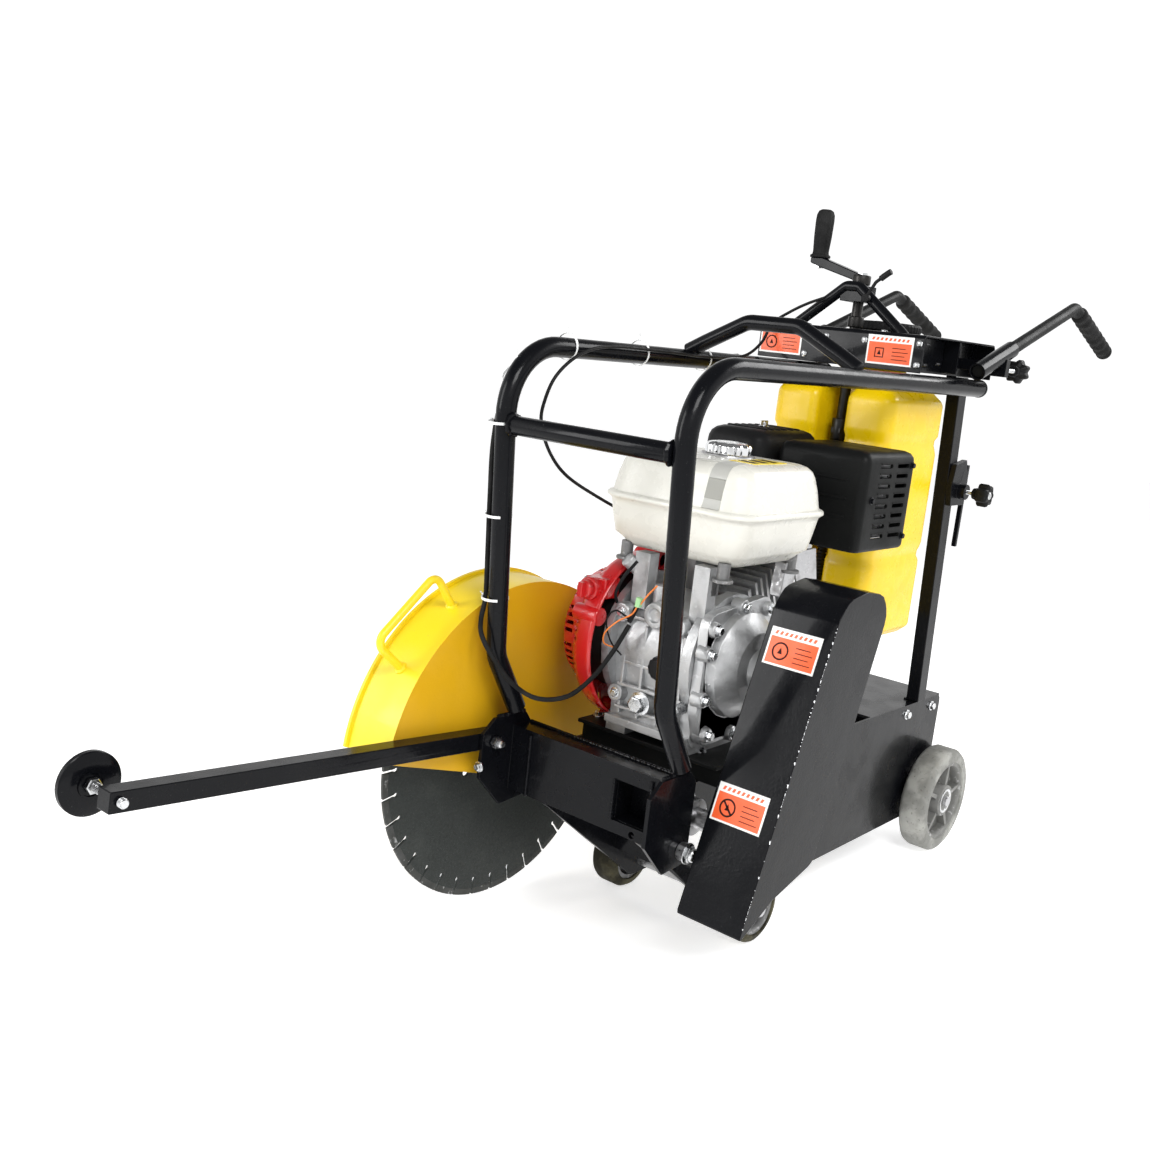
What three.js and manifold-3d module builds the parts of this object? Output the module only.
// Walk-behind concrete saw, an assembly of separate named pieces.
// Millimetres, +Z up, +X forward to the pointer arm, +Y to the belt guard side.
import * as THREE from 'three';
import { mergeVertices } from 'three/addons/utils/BufferGeometryUtils.js';
import Module from 'manifold-3d';

const wasm = await Module();
wasm.setup();

// ---------------------------------------------------------------- driving dimensions
const GAP = 0.3; // clearance between pieces that touch
const SHAFT = { x: 474, z: 260, r: 15 }; // blade shaft axis
const CRANK = { x: 372, z: 462 }; // engine crankshaft axis
const PIVOT = { x: 518, z: 226, r: 9 }; // wheel carriage pivot axis
const SCREW = { x: -50, y: 0, r: 9 }; // depth screw axis
const GRIP = { y: -84, seat: 1067 }; // crank grip axis and the top of the crank arm under it
const BLADE = { radius: 250, y: -226, thick: 4, slots: 36 };
const FRONT_WHEEL = { x: 260, radius: 56, inner: 100, outer: 148 };
const REAR_WHEEL = { x: -361, radius: 100, inner: 122, outer: 172 };
const AXLE_R = 10;
const FRAME = { half: 115, skin: 5, top: 294, bottom: 65, rear: -392, front: 508 };
const CAGE = { y: 151, r: 14.5, top: 878 };
const CONSOLE = { rear: -285, front: 0, half: 151, bottom: 894, top: 954, skin: 3 };
const BED_TOP = 329;
const BELT_GUARD = { inner: 186, outer: 286, skin: 2.5 };
const PULLEY = { from: 212, to: 260, engine: 31, blade: 41, groove: 6, web: 5 };
const GUARD = { x: 486, z: 256, r: 271, inner: -184, outer: -274, skin: 3, tilt: 15.4 };
const HANDLE = { y: 182, rise: 18.5, bar: 11, sleeve: 14.5, startX: -147, startZ: 906 };
const HANDLE_KNOB = { tip: -246, z: 914 };
const CLAMP_KNOB = { x: -288, z: 694 };
const POST_OUT = 118; // outer face of the rear posts
const BRACKET = { in: 149, out: 155 };
const POINTER = {
  y: -170, size: 26, rise: 4, length: 590, wheelY: -226,
  pivotX: 598, pivotZ: 303, boltBack: 18, axleBack: 14,
};
const LIFT = { crossZ: 150, crossR: 12, tubeTop: 500, tubeR: 15 };
const TANK_NECK = { x: -168, y: 0, r: 44 };
const ARCH = { x: -25, r: 9, foot: 104, top: 1022 };
const CYLINDER = { angle: 25, y0: -38, y1: 80 }; // barrel tilt from level, and its width
const FUEL_CAP = { x: 318, y: 20, seat: 748 };
const MUFFLER = { x0: 14, x1: 180, y0: 20, y1: 177, z0: 620, z1: 773 };
const SWITCH = { x: 488, y: -80, z: 540 };
const LEVER = { x: -13, y: 34, z: 1004 };

const deg = THREE.MathUtils.degToRad;
const v2 = (x, y) => new THREE.Vector2(x, y);
const v3 = (x, y, z) => new THREE.Vector3(x, y, z);

// ---------------------------------------------------------------- solids and joins
// A geometry as a manifold solid, with its faces pointing out.
function solid(source) {
  const plain = source.clone();
  for (const name of ['normal', 'uv']) plain.deleteAttribute(name);
  const merged = mergeVertices(plain, 1e-4);
  const vertProperties = new Float32Array(merged.attributes.position.array);
  const triVerts = new Uint32Array(merged.index.array);
  if (signedVolume(vertProperties, triVerts) < 0) {
    for (let i = 0; i < triVerts.length; i += 3) {
      [triVerts[i], triVerts[i + 1]] = [triVerts[i + 1], triVerts[i]];
    }
  }
  return new wasm.Manifold(new wasm.Mesh({ numProp: 3, vertProperties, triVerts }));
}

function signedVolume(points, triangles) {
  const corner = (i) => v3().fromArray(points, triangles[i] * 3);
  let sum = 0;
  for (let i = 0; i < triangles.length; i += 3) {
    sum += corner(i).dot(corner(i + 1).cross(corner(i + 2)));
  }
  return sum;
}

const join = (first, ...others) => others.reduce((a, b) => a.add(b), first);
const cut = (first, ...others) => others.reduce((a, b) => a.subtract(b), first);

function geometryOf(manifold) {
  const mesh = manifold.getMesh();
  const geometry = new THREE.BufferGeometry();
  geometry.setAttribute('position', new THREE.BufferAttribute(mesh.vertProperties, 3));
  geometry.setIndex(new THREE.BufferAttribute(mesh.triVerts, 1));
  geometry.computeVertexNormals();
  return geometry;
}

// ---------------------------------------------------------------- basic shapes
function box(x0, x1, y0, y1, z0, z1) {
  const geometry = new THREE.BoxGeometry(x1 - x0, y1 - y0, z1 - z0);
  return solid(geometry.translate((x0 + x1) / 2, (y0 + y1) / 2, (z0 + z1) / 2));
}

// Turns a geometry built along Z so that it lies along another axis. The first two
// axes keep the order X,Y for Z, X,Z for Y, and Y,Z for X.
function lay(geometry, axis) {
  if (axis === 'y') return geometry.rotateX(Math.PI / 2).scale(1, -1, 1);
  const basis = new THREE.Matrix4().makeBasis(v3(0, 1, 0), v3(0, 0, 1), v3(1, 0, 0));
  return axis === 'x' ? geometry.applyMatrix4(basis) : geometry;
}

// An outline extruded along an axis from one place to another.
function plate(axis, points, from, to) {
  const shape = new THREE.Shape(points.map((p) => (p.isVector2 ? p : v2(...p))));
  const depth = to - from;
  const geometry = new THREE.ExtrudeGeometry(shape, { depth, bevelEnabled: false, steps: 1 });
  return solid(lay(geometry.translate(0, 0, from), axis));
}

// A round bar along an axis; centre gives the other two coordinates.
function bar(axis, centre, r, from, to, sides = 20) {
  return plate(axis, circle(centre[0], centre[1], r, sides), from, to);
}

function circle(cx, cy, r, sides, start = 0) {
  const step = (2 * Math.PI) / sides;
  return [...Array(sides)].map((_, i) => {
    const a = start + i * step;
    return v2(cx + r * Math.cos(a), cy + r * Math.sin(a));
  });
}

// A turned piece: profile points are [radius, place along the axis], on the axis at both ends.
function turned(axis, centre, profile, sides = 24) {
  const geometry = new THREE.LatheGeometry(profile.map((p) => v2(p[0], p[1])), sides);
  geometry.rotateX(Math.PI / 2).scale(1, -1, 1).rotateZ(Math.PI / sides);
  const placed = lay(geometry.translate(centre[0], centre[1], 0), axis);
  return solid(placed);
}

// Replaces each corner of a path with an arc of the given radius.
function rounded(points, radius, steps = 3, closed = true) {
  const count = points.length;
  const path = [];
  points.forEach((corner, i) => {
    const open = !closed && (i === 0 || i === count - 1);
    const r = Array.isArray(radius) ? radius[i] : radius;
    if (open || !r) {
      path.push(corner.clone());
      return;
    }
    const into = corner.clone().sub(points[(i + count - 1) % count]).normalize();
    const out = points[(i + 1) % count].clone().sub(corner).normalize();
    const turn = Math.acos(THREE.MathUtils.clamp(into.dot(out), -1, 1));
    const inward = out.clone().addScaledVector(into, -into.dot(out)).normalize();
    const start = corner.clone().addScaledVector(into, -r * Math.tan(turn / 2));
    for (let k = 0; k <= steps; k += 1) {
      const a = (turn * k) / steps;
      const onArc = start.clone().addScaledVector(into, r * Math.sin(a));
      path.push(onArc.addScaledVector(inward, r * (1 - Math.cos(a))));
    }
  });
  return path;
}

const outline = (points, radius, steps = 3) => rounded(points.map((p) => v2(...p)), radius, steps);

// A path whose stations are the tube's rings, so rings gather in the bends.
class StationPath extends THREE.Curve {
  constructor(stations) {
    super();
    this.stations = stations;
  }

  getPointAt(u) {
    const place = THREE.MathUtils.clamp(u, 0, 1) * (this.stations.length - 1);
    const i = Math.min(Math.floor(place), this.stations.length - 2);
    return this.stations[i].clone().lerp(this.stations[i + 1], place - i);
  }

  getTangentAt(u) {
    const last = this.stations.length - 1;
    const i = Math.round(u * last);
    const before = this.stations[Math.max(i - 1, 0)];
    const after = this.stations[Math.min(i + 1, last)];
    return after.clone().sub(before).normalize();
  }
}

// A round or square tube along a path of corners, each with its bend radius.
function bentTube(corners, bend, r, sides = 10, bendSteps = 5) {
  const stations = rounded(corners.map((p) => v3(...p)), bend, bendSteps, false);
  return sweep(stations, r, sides);
}

function sweep(stations, r, sides) {
  const section = new THREE.Shape(circle(0, 0, r, sides, Math.PI / sides));
  const steps = stations.length - 1;
  const options = { steps, bevelEnabled: false, extrudePath: new StationPath(stations) };
  return solid(new THREE.ExtrudeGeometry(section, options));
}

// A soft cable through hand-placed points.
function cable(points, r, steps) {
  const curve = new THREE.CatmullRomCurve3(points.map((p) => v3(...p)), false, 'centripetal');
  return sweep(curve.getSpacedPoints(steps), r, 8);
}

// A closed skin over rings of equal point counts, with flat ends.
function loft(rings) {
  const size = rings[0].length;
  const points = rings.flat();
  const faces = [];
  for (let ring = 0; ring < rings.length - 1; ring += 1) {
    for (let i = 0; i < size; i += 1) {
      const a = ring * size + i;
      const b = ring * size + ((i + 1) % size);
      faces.push(a, b, b + size, a, b + size, a + size);
    }
  }
  for (let i = 1; i < size - 1; i += 1) {
    const last = (rings.length - 1) * size;
    faces.push(0, i + 1, i, last, last + i, last + i + 1);
  }
  const geometry = new THREE.BufferGeometry();
  const flat = points.flatMap((p) => p.toArray());
  geometry.setAttribute('position', new THREE.Float32BufferAttribute(flat, 3));
  geometry.setIndex(faces);
  return solid(geometry);
}

// A box with rounded upright corners whose size changes with height.
function moulded(levels, steps = 3) {
  return loft(levels.map(([z, x0, x1, y0, y1, r]) => {
    const ring = outline([[x0, y0], [x1, y0], [x1, y1], [x0, y1]], r, steps);
    return ring.map((p) => v3(p.x, p.y, z));
  }));
}

// ---------------------------------------------------------------- materials
const paint = (color, roughness, metalness = 0) =>
  new THREE.MeshStandardMaterial({ color, roughness, metalness });
const BLACK = paint(0x15161a, 0.35);
const YELLOW = paint(0xf2b50a, 0.4);
const YELLOW_PLASTIC = paint(0xffd60a, 0.35);
const RED = paint(0xc4161c, 0.35);
const WHITE = paint(0xeceadf, 0.35);
const ALUMINIUM = paint(0xb4b6b8, 0.45, 0.8);
const STEEL = paint(0x9a9ca0, 0.35, 0.9);
const CHROME = paint(0xd8dadc, 0.15, 1);
const BLADE_STEEL = paint(0x303338, 0.5, 0.5);
const RUBBER = paint(0x1a1a1a, 0.8);
const PLASTIC = paint(0x17181a, 0.55);
const TREAD = paint(0x8c8c86, 0.8);

const saw = new THREE.Group();

function piece(name, manifold, material) {
  const mesh = new THREE.Mesh(geometryOf(manifold), material);
  mesh.name = name;
  saw.add(mesh);
}

const SIDES = [['left', 1], ['right', -1]];

// Sorts a span given outwards from the middle into low and high for one side.
const span = (side, near, far) => (side > 0 ? [near, far] : [-far, -near]);

// ---------------------------------------------------------------- frame
function mainFrame() {
  const { half, skin, top, bottom, rear, front } = FRAME;
  const arch = 252;
  const cheek = outline(
    [[rear, bottom], [112, bottom], [150, arch], [front, arch - 44], [front, top], [rear, top]],
    [30, 12, 10, 14, 8, 14],
  );
  const cheeks = SIDES.map(([, side]) => plate('y', cheek, ...span(side, half - skin, half)));
  const inside = half - skin / 2;
  const rearWall = box(rear, rear + skin, -inside, inside, 120, top);
  const rearDeck = box(rear, -110, -inside, inside, top - skin, top);
  const floor = box(-310, -120, -inside, inside, bottom, bottom + skin);
  const frontTie = box(420, 426, -inside, inside, 240, top);
  const engineTie = box(170, 420, -inside, inside, top - skin, top);
  const body = join(...cheeks, rearWall, rearDeck, floor, frontTie, engineTie);
  const through = half + 5;
  return cut(
    body,
    bar('y', [SHAFT.x, SHAFT.z], SHAFT.r + 3, -through, through, 20),
    bar('y', [PIVOT.x, PIVOT.z], PIVOT.r + GAP, -through, through, 16),
    bar('y', [REAR_WHEEL.x, REAR_WHEEL.radius], AXLE_R + GAP, -through, through, 16),
  );
}

function frontBeam() {
  const { in: inner, out: outer } = BRACKET;
  const cheek = [[500, 205], [556, 200], [604, 250], [604, 318], [580, 338], [514, 338], [500, 320]];
  const cheeks = SIDES.map(([, side]) => plate('y', cheek, ...span(side, inner, outer)));
  const panel = box(534, 540, -inner - 2, inner + 2, 222, 322);
  const shelf = box(500, 536, -inner - 2, inner + 2, 316, 322);
  const socket = box(520, 545, 50, 112, 240, 300);
  const holes = [
    bar('y', [PIVOT.x, PIVOT.z], PIVOT.r + GAP, -outer - 5, outer + 5, 16),
    bar('x', [86, 229], 5, 525, 545, 12),
    bar('y', [POINTER.pivotX - POINTER.boltBack, POINTER.pivotZ], 6, -inner - 20, -inner + 5, 12),
  ];
  return cut(join(...cheeks, panel, shelf), socket, ...holes);
}

function cageTube(side) {
  const y = side * CAGE.y;
  const corners = [[537, y, 349], [592, y, 436], [626, y, CAGE.top], [-242, y, CAGE.top]];
  return bentTube(corners, [0, 60, 92, 0], CAGE.r, 12, 6);
}

function cageCrossbar() {
  const reach = CAGE.y - CAGE.r - GAP;
  return bar('y', [620, 769], 13.5, -reach, reach, 12);
}

function liftingArch() {
  const foot = CAGE.top + CAGE.r + GAP;
  const y = CAGE.y;
  const corners = [[205, -y, foot], [205, -y + 30, foot + 14], [205, -46, 944], [205, 46, 944]];
  corners.push([205, y - 30, foot + 14], [205, y, foot]);
  const tube = bentTube(corners, [0, 30, 40, 40, 30, 0], 12, 10, 3);
  return cut(tube, box(150, 260, -200, 200, foot - 40, foot));
}

function rearPost(side) {
  const foot = [[-316, FRAME.top + GAP], [-284, FRAME.top + GAP]];
  const head = [[-240, CONSOLE.bottom - GAP], [-272, CONSOLE.bottom - GAP]];
  return plate('y', [...foot, ...head], ...span(side, 94, POST_OUT));
}

function consoleBox() {
  const { rear, front, half, bottom, top, skin } = CONSOLE;
  const walls = box(rear, front, -half, half, bottom, top);
  const hollow = box(rear + skin, front - skin, -half - 1, half + 1, bottom - 1, top - skin);
  const ribs = SIDES.map(([, side]) => box(rear, front, ...span(side, 118, 118 + skin), bottom, top));
  const sleeves = SIDES.map(([, side]) => handleSleeve(side));
  return cut(
    join(cut(walls, hollow), ...ribs, ...sleeves),
    bar('z', [SCREW.x, SCREW.y], SCREW.r + 3, bottom - 5, top + 5, 16),
    bar('z', [TANK_NECK.x, TANK_NECK.y], TANK_NECK.r + 4, bottom - 5, top + 5, 28),
  );
}

function controlArch() {
  const { x, r, foot, top } = ARCH;
  const base = CONSOLE.top + GAP;
  const corners = [[x, -foot, base - 12], [x, -12, top], [x, 12, top], [x, foot, base - 12]];
  const tube = bentTube(corners, [0, 14, 14, 0], r, 10, 4);
  const block = box(SCREW.x - 18, x + 4, -20, 20, top - 26, top + 4);
  return cut(
    join(tube, block),
    box(x - 30, x + 30, -foot - 30, foot + 30, base - 40, base),
    bar('z', [SCREW.x, SCREW.y], SCREW.r + GAP, top - 60, top + 20, 16),
  );
}

// ---------------------------------------------------------------- handles
const slope = v2(Math.cos(deg(HANDLE.rise)), Math.sin(deg(HANDLE.rise)));
const alongHandle = (d) => [HANDLE.startX - d * slope.x, HANDLE.startZ + d * slope.y];

function handleSleeve(side) {
  const y = side * HANDLE.y;
  const [x0, z0] = alongHandle(0);
  const [x1, z1] = alongHandle(138);
  const outer = bentTube([[x0, y, z0], [x1, y, z1]], 0, HANDLE.sleeve, 12);
  const [bx0, bz0] = alongHandle(-5);
  const [bx1, bz1] = alongHandle(150);
  const bore = bentTube([[bx0, y, bz0], [bx1, y, bz1]], 0, HANDLE.bar + 0.5, 12);
  const arm = box(-255, -190, ...span(side, 119, HANDLE.y - 4), 908, 926);
  const lug = box(-244, -228, ...span(side, HANDLE.y - 10, HANDLE.y + 16), 902, 932);
  return cut(join(outer, arm, lug), bore);
}

function handlebar(side) {
  const y = side * HANDLE.y;
  const [x0, z0] = alongHandle(6);
  const [bendX, bendZ] = alongHandle(428);
  const tip = [bendX - 225 * slope.x, y, bendZ - 225 * slope.y];
  const tube = bentTube([[x0, y, z0], [bendX, y, bendZ], tip], [0, 26, 0], HANDLE.bar, 12, 6);
  const gripFrom = [bendX - 26 * slope.x, y, bendZ - 26 * slope.y];
  const grip = bentTube([gripFrom, tip], 0, HANDLE.bar + 4.5, 12);
  return join(tube, grip);
}

// A star knob on its screw, built along an axis from its tip to the outer face.
function starKnob(axis, centre, tip, sign) {
  const at = (a, b) => [tip + sign * a, tip + sign * b].sort((p, q) => p - q);
  const screw = bar(axis, centre, 4, ...at(0, 40), 12);
  const hub = bar(axis, centre, 9, ...at(30, 42), 16);
  const star = [...Array(14)].map((_, i) => {
    const r = i % 2 ? 16 : 20.5;
    const a = (i * Math.PI) / 7;
    return v2(centre[0] + r * Math.cos(a), centre[1] + r * Math.sin(a));
  });
  return join(screw, hub, plate(axis, star, ...at(40, 62)));
}

function postClamp() {
  const face = POST_OUT + GAP;
  const centre = [CLAMP_KNOB.x, CLAMP_KNOB.z];
  const edge = [[-312, 668], [-258, 668], [-250, 702], [-258, 742], [-300, 750], [-318, 712]];
  const body = plate('y', edge, face, face + 10);
  const boss = bar('y', centre, 14, face + 5, face + 24, 16);
  const rod = box(-322, -314, face, face + 8, 590, 740);
  return cut(join(body, boss, rod), bar('y', centre, 4 + GAP, face + 2, face + 30, 12));
}

// ---------------------------------------------------------------- water tank
function waterTank() {
  const valley = 30;
  const wide = (z, inset, lowFront = 0) => {
    const rear = -215 + inset;
    const front = -4 - inset - lowFront;
    const half = 112 - inset;
    const ring = outline(
      [
        [rear, -half], [front, -half], [front, -valley], [-88, -valley + 4],
        [-88, valley - 4], [front, valley], [front, half], [rear, half],
      ],
      [24, 24, 14, 8, 8, 14, 24, 24],
      2,
    );
    return ring.map((p) => v3(p.x, p.y, z));
  };
  const body = loft([
    wide(438, 14), wide(450, 3), wide(560, 0), wide(566, 4), wide(600, 4), wide(606, 0),
    wide(760, 0), wide(766, 4), wide(786, 4), wide(792, 0), wide(846, 0), wide(868, 12),
  ]);
  const neck = bar('z', [TANK_NECK.x, TANK_NECK.y], TANK_NECK.r, 860, 957, 28);
  return join(body, neck);
}

function tankLid() {
  const { x, y, r } = TANK_NECK;
  const rim = r + 14;
  const seat = 957 + GAP;
  const profile = [[0, seat], [rim - 2, seat], [rim, 960], [rim, 970], [rim - 4, 974], [0, 974]];
  return turned('z', [x, y], profile, 32);
}

// ---------------------------------------------------------------- engine
function engineBed() {
  const rails = [250, 388].map((x) => box(x, x + 44, -104, 150, FRAME.top + GAP, BED_TOP - 5));
  return join(box(236, 446, -104, 150, BED_TOP - 6, BED_TOP), ...rails);
}

function crankcase() {
  const { x, z } = CRANK;
  const foot = BED_TOP + GAP;
  const round = bar('y', [x, z], 86, -44, 100, 28);
  const sumpOutline = outline([[282, foot + 10], [446, foot + 10], [452, 480], [282, 500]], 16);
  const sump = plate('y', sumpOutline, -44, 100);
  const feet = [-50, 62].map((y) => box(272, 446, y, y + 36, foot, foot + 18));
  const faceRing = bar('y', [x, z], 98, 84, 100, 24);
  const fanRing = bar('y', [x, z], 104, -52, -40, 24);
  const lugPlaces = [[308, -30], [420, -34], [420, 70]];
  const lugs = lugPlaces.map(([px, py]) => box(px, px + 22, py, py + 26, 520, 602));
  return join(round, sump, ...feet, faceRing, fanRing, ...lugs);
}

function sideCover() {
  const { x, z } = CRANK;
  const edge = outline([[284, 352], [440, 346], [462, 400], [458, 540], [300, 556], [276, 480]], 22);
  const rim = plate('y', edge, 100 + GAP, 116);
  const profile = [[0, 108], [82, 108], [78, 128], [52, 150], [30, 152], [30, 176], [0, 176]];
  const dish = turned('y', [x, z], profile, 20);
  const boltBosses = [[300, 366], [436, 366], [446, 520], [310, 536]].map(
    ([bx, bz]) => bar('y', [bx, bz], 11, 104, 124, 8),
  );
  return cut(join(rim, dish, ...boltBosses), bar('y', [x, z], 13.2, 150, 180, 20));
}

// A block square to the tilted cylinder; a and b run along it from the crank axis.
function tilted(a, b, low, high, y0, y1) {
  const along = v2(-Math.cos(deg(CYLINDER.angle)), Math.sin(deg(CYLINDER.angle)));
  const up = v2(Math.sin(deg(CYLINDER.angle)), Math.cos(deg(CYLINDER.angle)));
  const at = (s, t) => v2(CRANK.x, CRANK.z).addScaledVector(along, s).addScaledVector(up, t);
  return plate('y', [at(b, low), at(a, low), at(a, high), at(b, high)], y0, y1);
}

function cylinderBlock() {
  const { y0, y1 } = CYLINDER;
  const barrel = tilted(90, 196, -42, 42, y0 + 14, y1 - 14);
  const finAt = (a) => tilted(a, a + 5, -58, 58, y0, y1);
  const fins = [...Array(6)].map((_, i) => finAt(116 + i * 14));
  const flange = tilted(104, 112, -50, 50, y0 + 6, y1 - 6);
  const crankcaseSpace = bar('y', [CRANK.x, CRANK.z], 105, -60, 100, 32);
  return cut(join(barrel, flange, ...fins), crankcaseSpace, box(272, 470, -60, 110, 300, 520));
}

function rockerCover() {
  const { y0, y1 } = CYLINDER;
  const head = tilted(196 + GAP, 226, -54, 54, y0, y1);
  const cap = tilted(226, 252, -40, 40, y0 + 14, y1 - 14);
  return join(head, cap);
}

function fanCover() {
  const { x, z } = CRANK;
  const back = -52 - GAP;
  const profile = [[0, -104], [96, -104], [112, -98], [126, -84], [128, -60], [128, back], [0, back]];
  const drum = turned('y', [x, z], profile, 28);
  const duct = plate('y', outline([[240, 470], [330, 470], [360, 588], [262, 588]], 10), -100, back);
  return join(drum, duct);
}

function recoilHousing() {
  const { x, z } = CRANK;
  const face = -104 - GAP;
  const profile = [[0, -150], [58, -150], [78, -146], [92, -132], [94, face], [0, face]];
  const mouth = bar('y', [x - 66, z + 66], 18, -140, face, 16);
  return join(turned('y', [x, z], profile, 32), mouth);
}

function recoilGrip() {
  const { x, z } = CRANK;
  const bodyY = -140 - GAP;
  return join(
    bar('y', [x - 66, z + 66], 8, bodyY - 16, bodyY, 12),
    box(x - 96, x - 36, bodyY - 26, bodyY - 12, z + 56, z + 76),
  );
}

function fuelTank() {
  return moulded([
    [606, 246, 436, -76, 128, 30], [616, 236, 446, -88, 140, 34], [672, 224, 458, -99, 149, 30],
    [676, 220, 462, -103, 153, 30], [684, 220, 462, -103, 153, 30], [688, 226, 456, -98, 148, 30],
    [732, 244, 438, -84, 132, 32], [FUEL_CAP.seat, 262, 420, -66, 114, 28],
  ]);
}

function fuelCap() {
  const base = FUEL_CAP.seat + GAP;
  const profile = [[0, base], [33, base], [33, base + 16], [28, base + 20], [0, base + 20]];
  return turned('z', [FUEL_CAP.x, FUEL_CAP.y], profile, 24);
}

function airCleaner() {
  const base = moulded([[630, 30, 200, -96, 6, 20], [700, 22, 206, -104, 8, 24]]);
  const lid = moulded([
    [698, 16, 212, -110, 10, 24], [770, 20, 208, -106, 8, 24], [782, 34, 194, -92, -4, 20],
  ]);
  return join(base, lid);
}

function carburettor() {
  return join(
    bar('y', [212, 596], 20, -96, -46, 16),
    box(196, 228, -88, -52, 560, 596),
    bar('z', [212, -70], 14, 540, 566, 16),
  );
}

function muffler() {
  const { x0, x1, y0, y1, z0, z1 } = MUFFLER;
  const can = moulded([
    [z0 + 16, x0 + 16, x1 - 16, y0 + 14, y1 - 16, 30],
    [z1 - 16, x0 + 16, x1 - 16, y0 + 14, y1 - 16, 30],
  ]);
  const pipe = bentTube([[140, 60, 600], [140, 60, z0 + 30]], 0, 16, 12);
  return join(can, pipe);
}

function mufflerGuard() {
  const { x0, x1, y0, y1, z0, z1 } = MUFFLER;
  const shell = moulded([
    [z0, x0 + 4, x1 - 4, y0 + 2, y1 - 4, 12], [z0 + 8, x0, x1, y0, y1, 12],
    [z1 - 14, x0, x1, y0, y1, 12], [z1, x0 + 8, x1 - 8, y0 + 6, y1 - 8, 12],
  ]);
  const hollow = box(x0 + 4, x1 - 4, y0 + 4, y1 - 4, z0 - 5, z1 - 5);
  const louvres = [];
  for (let row = 0; row < 4; row += 1) {
    for (const start of [x0 + 26, x0 + 66]) {
      const z = z0 + 26 + row * 28;
      louvres.push(box(start, start + 30, y1 - 8, y1 + 4, z, z + 5));
    }
  }
  return cut(shell, hollow, ...louvres);
}

function engineSwitch() {
  const { x, y, z } = SWITCH;
  return join(bar('x', [y, z], 13, x, x + 10, 16), box(x + 8, x + 18, y - 4, y + 4, z - 12, z + 12));
}

// ---------------------------------------------------------------- drive
function groovedPulley(centre, r, bore) {
  const { from, to, groove, web } = PULLEY;
  const ring = (radius, a, b) => bar('y', centre, radius, a, b, 22);
  const core = ring(r - groove, from + web - 1, to - web + 1);
  const flanges = [ring(r, from, from + web), ring(r, to - web, to)];
  const body = join(core, ...flanges);
  return bore ? cut(body, bar('y', centre, bore, from - 5, to + 5, 20)) : body;
}

function enginePulley() {
  const centre = [CRANK.x, CRANK.z];
  return join(groovedPulley(centre, PULLEY.engine, 0), bar('y', centre, 12.5, 162, PULLEY.to + 8, 20));
}

// The outer outline of a belt round two circles: tangent lines joined by arcs.
function beltOutline(rTop, rLow, steps) {
  const low = v2(SHAFT.x, SHAFT.z);
  const top = v2(CRANK.x, CRANK.z);
  const line = top.clone().sub(low);
  const lean = line.angle();
  const open = Math.acos((rLow - rTop) / line.length());
  const arc = (centre, r, from, to) => [...Array(steps + 1)].map((_, i) => {
    const a = from + ((to - from) * i) / steps;
    return v2(centre.x + r * Math.cos(a), centre.y + r * Math.sin(a));
  });
  return [
    ...arc(low, rLow, lean + open, lean + 2 * Math.PI - open),
    ...arc(top, rTop, lean - open, lean + open),
  ];
}

function driveBelt() {
  const { from, to, engine, blade, groove, web } = PULLEY;
  const inner = 1;
  const inside = beltOutline(engine - groove + inner, blade - groove + inner, 12);
  const outside = beltOutline(engine - 0.5, blade - 0.5, 12);
  const y0 = from + web + GAP;
  const y1 = to - web - GAP;
  return cut(plate('y', outside, y0, y1), plate('y', inside, y0 - 5, y1 + 5));
}

function bladeShaft() {
  const rod = bar('y', [SHAFT.x, SHAFT.z], SHAFT.r, -262, PULLEY.to + 4, 20);
  const flange = bar('y', [SHAFT.x, SHAFT.z], 50, -208, BLADE.y + BLADE.thick / 2 + GAP, 28);
  return join(rod, flange);
}

function bearing(side) {
  const base = FRAME.half + GAP;
  const centre = [SHAFT.x, SHAFT.z];
  const flange = bar('y', centre, 33, ...span(side, base, base + 12), 6);
  const housing = bar('y', centre, 27, ...span(side, base + 10, base + 30), 24);
  const bore = bar('y', centre, SHAFT.r + 0.5, ...span(side, base - 5, base + 70), 20);
  const snout = bar('y', centre, 22, ...span(side, base + 28, base + 62), 24);
  return cut(side < 0 ? join(flange, housing, snout) : join(flange, housing), bore);
}

function outerFlange() {
  const face = BLADE.y - BLADE.thick / 2 - GAP;
  const centre = [SHAFT.x, SHAFT.z];
  const disc = bar('y', centre, 50, face - 11, face, 28);
  const nut = bar('y', centre, 24, face - 27, face - 10, 6);
  return cut(join(disc, nut), bar('y', centre, SHAFT.r + 0.4, face - 40, face + 5, 20));
}

// The disc has a slot with a round inner end between each pair of rim segments.
function sawBlade() {
  const { radius, slots, thick, y } = BLADE;
  const pitch = (2 * Math.PI) / slots;
  const at = (r, a) => v2(SHAFT.x + r * Math.cos(a), SHAFT.z + r * Math.sin(a));
  const rim = [];
  for (let i = 0; i < slots; i += 1) {
    const a = i * pitch;
    const mouth = 1.6 / radius;
    const root = 2.6 / (radius - 26);
    rim.push(at(radius, a + mouth), at(radius, a + pitch - mouth), at(radius - 23, a + pitch - root));
    rim.push(at(radius - 28, a + pitch), at(radius - 23, a + pitch + root));
  }
  const disc = plate('y', rim, y - thick / 2, y + thick / 2);
  return cut(
    disc,
    bar('y', [SHAFT.x, SHAFT.z], SHAFT.r + 0.4, y - 10, y + 10, 20),
    bar('y', [SHAFT.x + 80, SHAFT.z - 34], 5, y - 10, y + 10, 12),
  );
}

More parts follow.
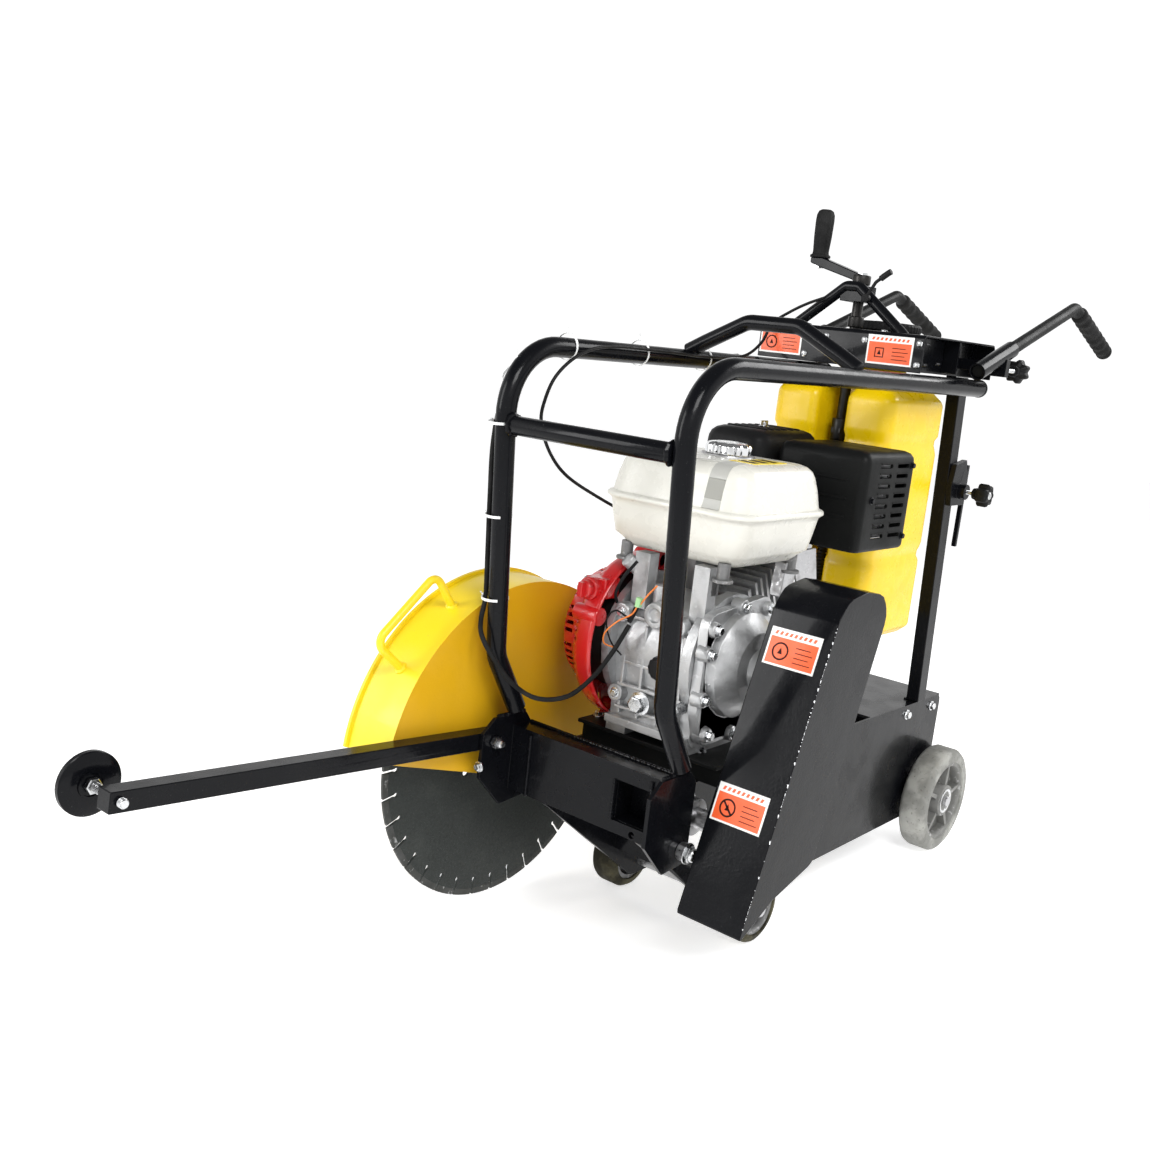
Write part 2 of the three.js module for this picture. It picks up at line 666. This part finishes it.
function bladeGuard() {
  const { x, z, r, inner, outer, skin } = GUARD;
  const tilt = deg(GUARD.tilt);
  const round = (radius, y0, y1) => bar('y', [x, z], radius, y0, y1, 44);
  const shell = cut(round(r, outer, inner), round(r - skin, outer + skin, inner - skin));
  const lip = cut(round(r + 5, outer, outer + 4), round(r - 2, outer - 5, outer + 8));
  // everything under a line that rises forward is open
  const front = v2(x + 340, 311);
  const back = v2(x - 340, 311 - 680 * Math.tan(tilt));
  const below = plate('y', [back, v2(back.x, -200), v2(front.x, -200), front], outer - 20, inner + 20);
  const collar = bar('y', [SHAFT.x, SHAFT.z], 31, inner - skin, inner + 20, 28);
  const hole = bar('y', [SHAFT.x, SHAFT.z], 22.6, inner - 20, inner + 40, 24);
  const body = join(cut(join(shell, lip), below), collar, hingeWeb());
  return join(cut(body, hole), guardHandle());
}

// Keeps the collar tied to the inner wall where the cut line passes below the shaft.
function hingeWeb() {
  const { inner, skin } = GUARD;
  return plate('y', [[430, 215], [518, 240], [518, 300], [430, 300]], inner - skin, inner);
}

function guardHandle() {
  const { x, z, r } = GUARD;
  const y = -216;
  const at = (radius, a) => [x + radius * Math.cos(deg(a)), y, z + radius * Math.sin(deg(a))];
  const corners = [at(r - 2, 61), at(r + 56, 59.5), at(r + 60, 34.5), at(r - 2, 33)];
  return bentTube(corners, [0, 16, 16, 0], 6, 8, 4);
}

function beltGuard() {
  const { inner, outer, skin } = BELT_GUARD;
  const edge = [
    [558, 153], [484, 192], [384, 219], [270, 560], [288, 592], [340, 600], [392, 592], [412, 566],
  ];
  const shape = outline(edge, [3, 20, 20, 30, 30, 30, 30, 30], 2);
  const middle = v2(405, 390);
  const shrunk = shape.map((p) => {
    const away = p.clone().sub(middle);
    return p.clone().addScaledVector(away.normalize(), -skin * 1.25);
  });
  return cut(plate('y', shape, inner, outer), plate('y', shrunk, inner - 5, outer - skin));
}

// ---------------------------------------------------------------- depth control
function depthCrank() {
  const { x, y, r } = SCREW;
  const hubZ = ARCH.top + 4 + GAP;
  const rod = bar('z', [x, y], r, 465, hubZ + 16, 16);
  const collar = bar('z', [x, y], 15, 766, 805, 16);
  const hub = bar('z', [x, y], 15, hubZ, hubZ + 16, 16);
  const armLow = hubZ + 4;
  const edge = [
    [6, armLow], [6, armLow + 9], [-76, GRIP.seat],
    [-96, GRIP.seat], [-96, GRIP.seat - 7], [-80, GRIP.seat - 8],
  ];
  const arm = plate('x', edge, x - 11, x + 11);
  const pin = bar('z', [x, GRIP.y], 5, GRIP.seat - 17, 1140, 12);
  return join(rod, collar, hub, arm, pin);
}

function crankGrip() {
  const low = GRIP.seat + GAP;
  const profile = [
    [0, low], [17, low], [17, 1071], [13, 1073], [14.5, 1100], [15, 1130], [12, 1146], [0, 1146],
  ];
  const centre = [SCREW.x, GRIP.y];
  return cut(turned('z', centre, profile, 20), bar('z', centre, 5.4, 1040, 1141, 12));
}

function liftTube() {
  const { x, y, r } = SCREW;
  const low = LIFT.crossZ + LIFT.crossR + 2;
  const tube = bar('z', [x, y], LIFT.tubeR, low, LIFT.tubeTop, 16);
  const shoe = box(x - 32, x + 40, -20, 20, low, low + 8);
  return cut(join(tube, shoe), bar('z', [x, y], r + 0.5, 200, LIFT.tubeTop + 5, 16));
}

function wheelCarriage() {
  const axle = v2(FRONT_WHEEL.x, FRONT_WHEEL.radius);
  const arm = [
    [PIVOT.x + 8, PIVOT.z - 12], [PIVOT.x + 10, PIVOT.z + 12], [PIVOT.x - 10, PIVOT.z + 12],
    [axle.x + 40, axle.y + 52], [axle.x - 40, axle.y + 46], [20, LIFT.crossZ + 14], [-66, LIFT.crossZ + 14],
    [-66, LIFT.crossZ - 14], [20, LIFT.crossZ - 14], [axle.x - 24, axle.y - 22], [axle.x + 24, axle.y - 22],
  ];
  const arms = SIDES.map(([, side]) => plate('y', arm, ...span(side, 84, 92)));
  const cross = bar('y', [SCREW.x, LIFT.crossZ], LIFT.crossR, -88, 88, 16);
  const tie = box(330, 338, -88, 88, 96, 128);
  const sleeve = bar('y', [PIVOT.x, PIVOT.z], PIVOT.r + 4, -100, 100, 16);
  const body = join(...arms, cross, tie, sleeve);
  return cut(
    body,
    bar('y', [PIVOT.x, PIVOT.z], PIVOT.r + 0.4, -120, 120, 16),
    bar('y', [axle.x, axle.y], AXLE_R + GAP, -120, 120, 16),
  );
}

function carriagePivot() {
  const reach = BRACKET.out + GAP;
  const centre = [PIVOT.x, PIVOT.z];
  const rod = bar('y', centre, PIVOT.r, -reach - 4, reach + 4, 16);
  const heads = SIDES.map(([, side]) => bar('y', centre, 13, ...span(side, reach, reach + 12), 12));
  return join(rod, ...heads);
}

// ---------------------------------------------------------------- wheels
function wheel(spec, side) {
  const { x, radius, inner, outer } = spec;
  const [y0, y1] = span(side, inner, outer);
  const face = side > 0 ? y1 : y0;
  const into = side > 0 ? -1 : 1;
  const tyre = turned('y', [x, radius], [
    [0, y0], [radius - 6, y0], [radius, y0 + 6], [radius, y1 - 6], [radius - 6, y1], [0, y1],
  ], 28);
  const inwards = (from, to) => [face + into * from, face + into * to].sort((a, b) => a - b);
  const recess = bar('y', [x, radius], radius * 0.72, ...inwards(-1, 10), 20);
  const hub = bar('y', [x, radius], radius * 0.24, ...inwards(0, 14), 16);
  const bore = bar('y', [x, radius], AXLE_R + 0.4, y0 - 5, y1 + 5, 16);
  return cut(join(cut(tyre, recess), hub), bore);
}

const axle = (spec, reach) => bar('y', [spec.x, spec.radius], AXLE_R, -reach, reach, 20);

// ---------------------------------------------------------------- pointer
const pointerRun = v2(Math.cos(deg(POINTER.rise)), Math.sin(deg(POINTER.rise)));
const alongPointer = (d) => v2(POINTER.pivotX, POINTER.pivotZ).addScaledVector(pointerRun, d);
const wheelCentre = alongPointer(POINTER.length - POINTER.axleBack).toArray();

function pointerArm() {
  const { y, size, pivotX, pivotZ, boltBack, wheelY } = POINTER;
  const side = v2(-pointerRun.y, pointerRun.x).multiplyScalar(size / 2);
  const from = alongPointer(-34);
  const to = alongPointer(POINTER.length);
  const edge = [from.clone().add(side), from.clone().sub(side), to.clone().sub(side), to.clone().add(side)];
  const tube = plate('y', edge, y - size / 2, y + size / 2);
  const pin = bar('y', wheelCentre, 6, wheelY - 14, y, 12);
  const bolt = bar('y', [pivotX - boltBack, pivotZ], 5.5, y, -BRACKET.in + 14, 12);
  return join(tube, pin, bolt);
}

function pointerWheel() {
  const { wheelY } = POINTER;
  const disc = bar('y', wheelCentre, 39, wheelY - 5, wheelY + 5, 32);
  return cut(disc, bar('y', wheelCentre, 6.4, wheelY - 20, wheelY + 20, 16));
}

// ---------------------------------------------------------------- throttle and cables
function throttleLever() {
  const { x, y, z } = LEVER;
  const pivot = bar('x', [y, z], 7, x, x + 8, 14);
  const at = (out, up) => [x + 5, y + out, z + up];
  const stick = bentTube([at(0, 0), at(14, 26), at(24, 34)], [0, 8, 0], 2.8, 8, 3);
  const ball = bentTube([at(22, 32), at(38, 44)], 0, 5, 8);
  return join(pivot, stick, ball);
}

const THROTTLE_CABLE = [
  [-8, -40, 1000], [-6, -70, 988], [-4, -100, 972], [8, -124, 950], [30, -128, 915], [80, -130, 890],
  [180, -131, 884], [300, -131, 886], [430, -130, 886], [500, -128, 872], [546, -130, 840], [560, -136, 800],
  [556, -140, 770], [530, -142, 730], [490, -140, 696], [420, -136, 664], [330, -130, 630], [250, -118, 606],
  [214, -104, 598],
];

const SWITCH_CABLE = [
  [30, -171, 890], [120, -171, 884], [280, -171, 884], [440, -171, 884], [530, -171, 876], [580, -171, 846],
  [608, -171, 800], [618, -171, 740], [614, -171, 660], [608, -171, 580], [604, -171, 520], [612, -168, 488],
  [624, -152, 468], [618, -132, 440], [596, -110, 404], [566, -86, 384], [530, -62, 388], [504, -42, 416],
  [486, -24, 456], [474, -8, 500],
];

// ---------------------------------------------------------------- assembly
piece('main_frame', mainFrame(), BLACK);
piece('front_beam', frontBeam(), BLACK);
for (const [name, side] of SIDES) {
  piece(`cage_tube_${name}`, cageTube(side), BLACK);
  piece(`rear_post_${name}`, rearPost(side), BLACK);
  piece(`handlebar_${name}`, handlebar(side), BLACK);
  const knobCentre = [side * (HANDLE.y + 10), HANDLE_KNOB.z];
  piece(`handle_knob_${name}`, starKnob('x', knobCentre, HANDLE_KNOB.tip, -1), PLASTIC);
  piece(`bearing_${name}`, bearing(side), STEEL);
  piece(`front_wheel_${name}`, wheel(FRONT_WHEEL, side), RUBBER);
  piece(`rear_wheel_${name}`, wheel(REAR_WHEEL, side), TREAD);
}
piece('cage_crossbar', cageCrossbar(), BLACK);
piece('lifting_arch', liftingArch(), BLACK);
piece('console_box', consoleBox(), BLACK);
piece('control_arch', controlArch(), BLACK);
piece('post_clamp', postClamp(), BLACK);
piece('clamp_knob', starKnob('y', [CLAMP_KNOB.x, CLAMP_KNOB.z], POST_OUT + 6, 1), PLASTIC);
piece('water_tank', waterTank(), YELLOW_PLASTIC);
piece('tank_lid', tankLid(), PLASTIC);
piece('engine_bed', engineBed(), BLACK);
piece('crankcase', crankcase(), ALUMINIUM);
piece('side_cover', sideCover(), ALUMINIUM);
piece('cylinder_block', cylinderBlock(), ALUMINIUM);
piece('rocker_cover', rockerCover(), STEEL);
piece('fan_cover', fanCover(), RED);
piece('recoil_housing', recoilHousing(), RED);
piece('recoil_grip', recoilGrip(), PLASTIC);
piece('fuel_tank', fuelTank(), WHITE);
piece('fuel_cap', fuelCap(), CHROME);
piece('air_cleaner', airCleaner(), PLASTIC);
piece('carburettor', carburettor(), ALUMINIUM);
piece('muffler', muffler(), STEEL);
piece('muffler_guard', mufflerGuard(), BLACK);
piece('engine_switch', engineSwitch(), RED);
piece('engine_pulley', enginePulley(), STEEL);
piece('drive_belt', driveBelt(), RUBBER);
piece('blade_pulley', groovedPulley([SHAFT.x, SHAFT.z], PULLEY.blade, SHAFT.r + 0.4), STEEL);
piece('blade_shaft', bladeShaft(), STEEL);
piece('outer_flange', outerFlange(), STEEL);
piece('saw_blade', sawBlade(), BLADE_STEEL);
piece('blade_guard', bladeGuard(), YELLOW);
piece('belt_guard', beltGuard(), BLACK);
piece('depth_crank', depthCrank(), BLACK);
piece('crank_grip', crankGrip(), RUBBER);
piece('lift_tube', liftTube(), STEEL);
piece('wheel_carriage', wheelCarriage(), BLACK);
piece('carriage_pivot', carriagePivot(), STEEL);
piece('front_axle', axle(FRONT_WHEEL, 154), STEEL);
piece('rear_axle', axle(REAR_WHEEL, 178), STEEL);
piece('pointer_arm', pointerArm(), BLACK);
piece('pointer_wheel', pointerWheel(), BLACK);
piece('throttle_lever', throttleLever(), PLASTIC);
piece('throttle_cable', cable(THROTTLE_CABLE, 2.5, 44), RUBBER);
piece('switch_cable', cable(SWITCH_CABLE, 3.5, 44), RUBBER);

// The origin is the middle of the bounding box, on the floor.
const bounds = new THREE.Box3().setFromObject(saw);
const middle = bounds.getCenter(v3());
const assembly = new THREE.Group();
saw.position.set(-middle.x, -middle.y, -bounds.min.z);
assembly.add(saw);

export default assembly;
